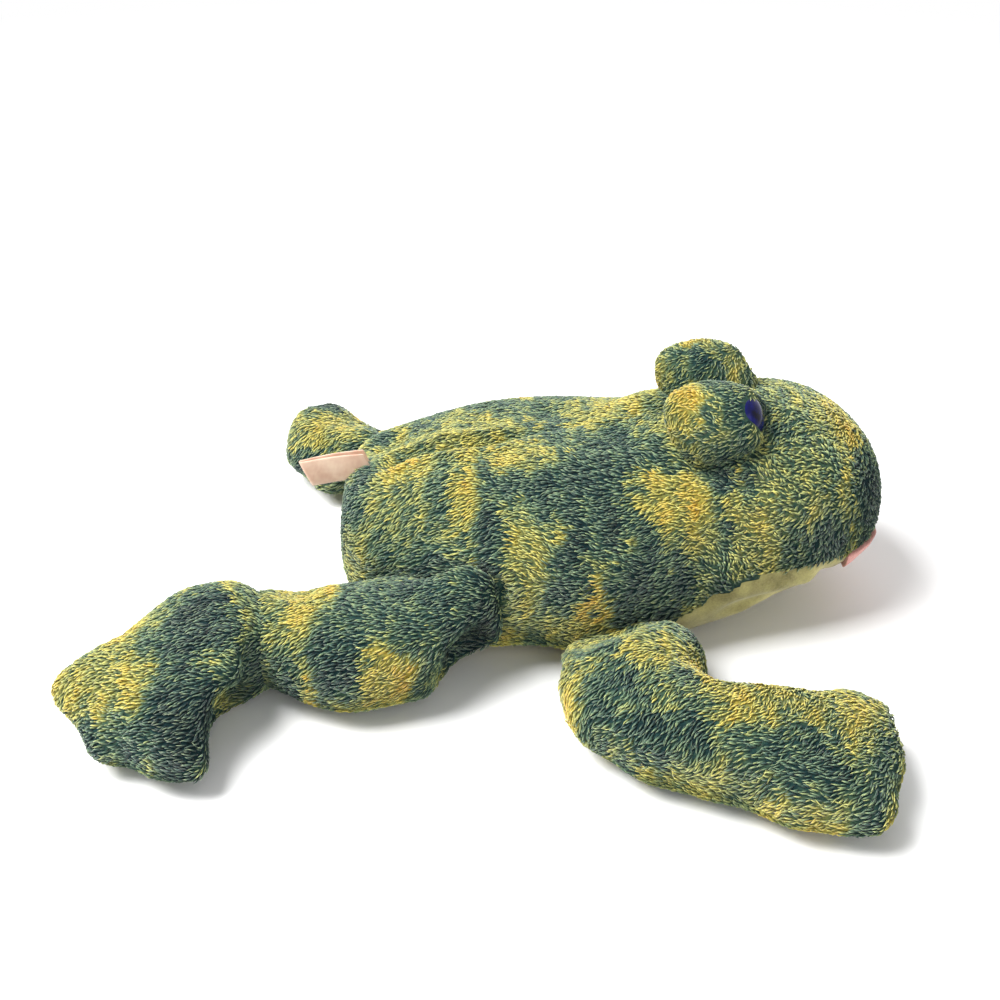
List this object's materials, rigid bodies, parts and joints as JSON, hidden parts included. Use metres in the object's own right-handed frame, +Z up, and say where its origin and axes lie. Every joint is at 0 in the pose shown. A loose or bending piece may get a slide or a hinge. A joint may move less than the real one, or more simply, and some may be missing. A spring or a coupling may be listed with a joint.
{
  "type": "plush frog",
  "caption": "Floppy bean-bag plush frog lying on its belly, with hanging limbs, folding hind feet, plush eye domes with glossy eyes, a felt mouth and a bare sewn-in label.",
  "frame": {"origin": "on the floor under the belly, on the torso's middle plane, at the middle of the flat rest face", "axes": "+X towards the snout, +Y towards the frog's left, +Z up"},
  "size_m": [0.2128, 0.1898, 0.0676],
  "materials": {
    "back_plush": "short combed plush, mottled teal and yellow",
    "limb_plush": "short combed plush, mottled teal and yellow",
    "belly_velour": "pale short-pile velour",
    "mouth_felt": "pink felt",
    "label_satin": "bare satin tape",
    "eye_plastic": "glossy near-black with a blue cast",
    "washer_plastic": "plain white moulding",
    "pellet_fill": "loose plastic pellets",
    "fibre_fill": "white polyester fibre"
  },
  "bodies": {
    "torso": {"back_panel_right": "back_plush", "back_panel_left": "back_plush", "belly_panel": "belly_velour", "mouth_felt": "mouth_felt", "head_fibre": "fibre_fill", "belly_pellets": "pellet_fill", "care_label": "label_satin", "eye_dome_right": "limb_plush", "eye_right": "eye_plastic", "eye_washer_right": "washer_plastic", "eye_dome_fibre_right": "fibre_fill", "eye_dome_left": "limb_plush", "eye_left": "eye_plastic", "eye_washer_left": "washer_plastic", "eye_dome_fibre_left": "fibre_fill"},
    "foreleg_right": {"foreleg_upper_right": "limb_plush", "foreleg_under_right": "limb_plush", "foreleg_pellets_right": "pellet_fill"},
    "foreleg_left": {"foreleg_upper_left": "limb_plush", "foreleg_under_left": "limb_plush", "foreleg_pellets_left": "pellet_fill"},
    "hind_leg_right": {"hind_leg_upper_right": "limb_plush", "hind_leg_under_right": "limb_plush", "hind_leg_pellets_right": "pellet_fill"},
    "hind_leg_left": {"hind_leg_upper_left": "limb_plush", "hind_leg_under_left": "limb_plush", "hind_leg_pellets_left": "pellet_fill"},
    "hind_foot_right": {"hind_foot_upper_right": "limb_plush", "hind_foot_under_right": "limb_plush", "hind_foot_pellets_right": "pellet_fill"},
    "hind_foot_left": {"hind_foot_upper_left": "limb_plush", "hind_foot_under_left": "limb_plush", "hind_foot_pellets_left": "pellet_fill"}
  },
  "joints": [
    {"name": "shoulder_right", "type": "hinge", "parent": "torso", "child": "foreleg_right", "pos_m": [0.031, -0.04664, 0.017], "axis": [-0.9777, -0.2099, 0], "range_deg": [-25, 40]},
    {"name": "shoulder_left", "type": "hinge", "parent": "torso", "child": "foreleg_left", "pos_m": [0.031, 0.04664, 0.017], "axis": [0.9777, -0.2099, 0], "range_deg": [-25, 40]},
    {"name": "hip_right", "type": "hinge", "parent": "torso", "child": "hind_leg_right", "pos_m": [-0.02, -0.03966, 0.02], "axis": [-0.9225, 0.386, 0], "range_deg": [-20, 35]},
    {"name": "hip_left", "type": "hinge", "parent": "torso", "child": "hind_leg_left", "pos_m": [-0.02, 0.03966, 0.02], "axis": [0.9225, 0.386, 0], "range_deg": [-20, 35]},
    {"name": "ankle_right", "type": "hinge", "parent": "hind_leg_right", "child": "hind_foot_right", "pos_m": [-0.0619, -0.04411, 0], "axis": [0, 0, 1], "range_deg": [-30, 30]},
    {"name": "ankle_left", "type": "hinge", "parent": "hind_leg_left", "child": "hind_foot_left", "pos_m": [-0.01679, 0.0467, 0], "axis": [0, 0, 1], "range_deg": [-50, 10]}
  ]
}
